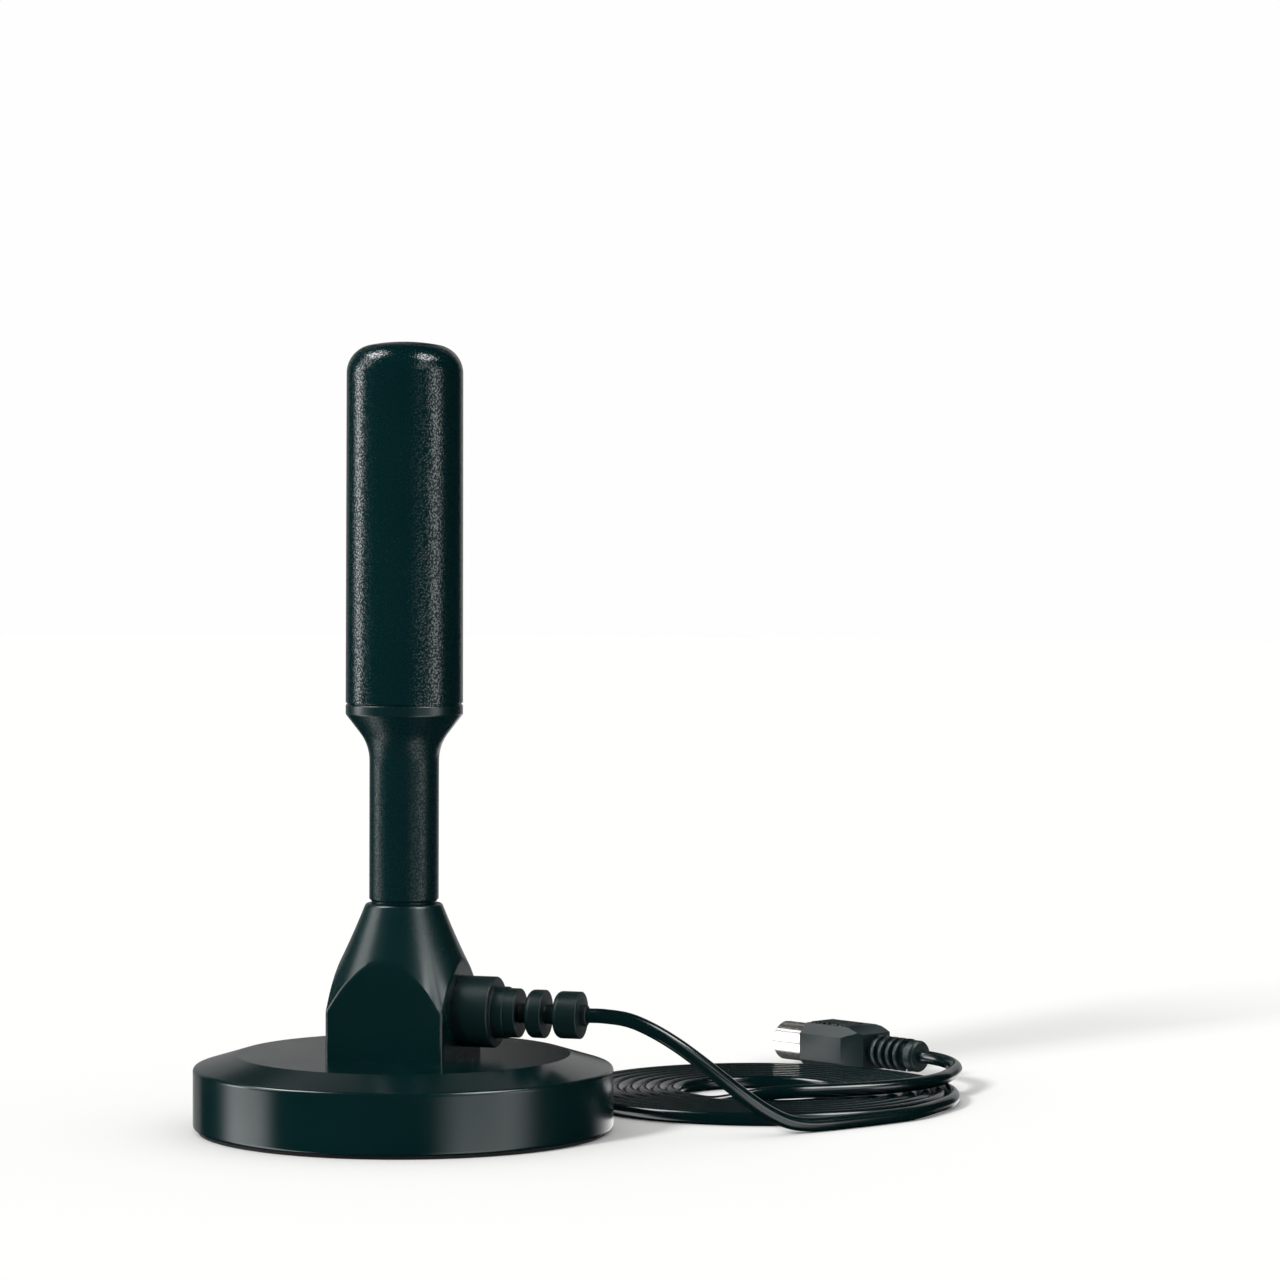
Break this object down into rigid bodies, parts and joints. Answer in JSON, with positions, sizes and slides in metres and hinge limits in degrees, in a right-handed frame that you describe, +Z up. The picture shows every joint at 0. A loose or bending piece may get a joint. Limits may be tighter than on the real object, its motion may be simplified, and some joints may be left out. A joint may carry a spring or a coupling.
{
  "type": "indoor tv antenna",
  "caption": "Indoor television antenna: a capped rod element on a stem and an arched tower, on a round weighted magnetic base, with a coiled coaxial cord and plug",
  "frame": {"origin": "centre of the underside of the round base, on the floor below the mast", "axes": "+Z up along the mast, +X the way the cord gland points out of the tower, +Y the way the coil and plug lie, with -Y the plain face of the tower that the picture shows nearly square on"},
  "size_m": [0.1549, 0.1875, 0.1735],
  "materials": {
    "base_cover": "satin black moulding, smooth, with a faint teal cast",
    "bottom_plate": "plain black moulding",
    "foot_pad": "thin black rubber, matt",
    "ring_magnet": "sintered magnet, dark grey",
    "ballast_disc": "stamped steel, plain",
    "base_screws": "zinc plated",
    "tower_screws": "zinc plated",
    "cable_housing": "satin black moulding with crisp arch edges",
    "neck": "satin black turned or moulded stem",
    "neck_nut": "plain machined brass",
    "radome": "black moulding with a fine even grain",
    "matching_board": "green laminate",
    "winding_former": "natural nylon",
    "winding": null,
    "foam_pad": null,
    "cord_gland": "satin black flexible moulding",
    "gland_clip": "spring steel",
    "inner_lead": "black cable jacket",
    "cord_lead": "smooth glossy black cable jacket",
    "cord_coil": "smooth glossy black cable jacket",
    "cord_tail": "smooth glossy black cable jacket",
    "plug_relief": "satin black flexible moulding",
    "plug_body": "satin black moulding with a grooved grip panel",
    "plug_shell": "bright nickel plated sleeve",
    "plug_insulator": "white insulating plastic",
    "plug_pin": "bright nickel plated pin"
  },
  "bodies": {
    "root": {"base_cover": "base_cover", "bottom_plate": "bottom_plate", "foot_pad": "foot_pad", "ring_magnet": "ring_magnet", "ballast_disc": "ballast_disc", "base_screws": "base_screws", "tower_screws": "tower_screws", "cable_housing": "cable_housing", "neck": "neck", "neck_nut": "neck_nut", "radome": "radome", "matching_board": "matching_board", "winding_former": "winding_former", "winding": "winding", "foam_pad": "foam_pad", "cord_gland": "cord_gland", "gland_clip": "gland_clip", "inner_lead": "inner_lead", "cord_lead": "cord_lead", "cord_coil": "cord_coil", "cord_tail": "cord_tail", "plug_relief": "plug_relief", "plug_body": "plug_body", "plug_shell": "plug_shell", "plug_insulator": "plug_insulator", "plug_pin": "plug_pin"}
  },
  "joints": []
}
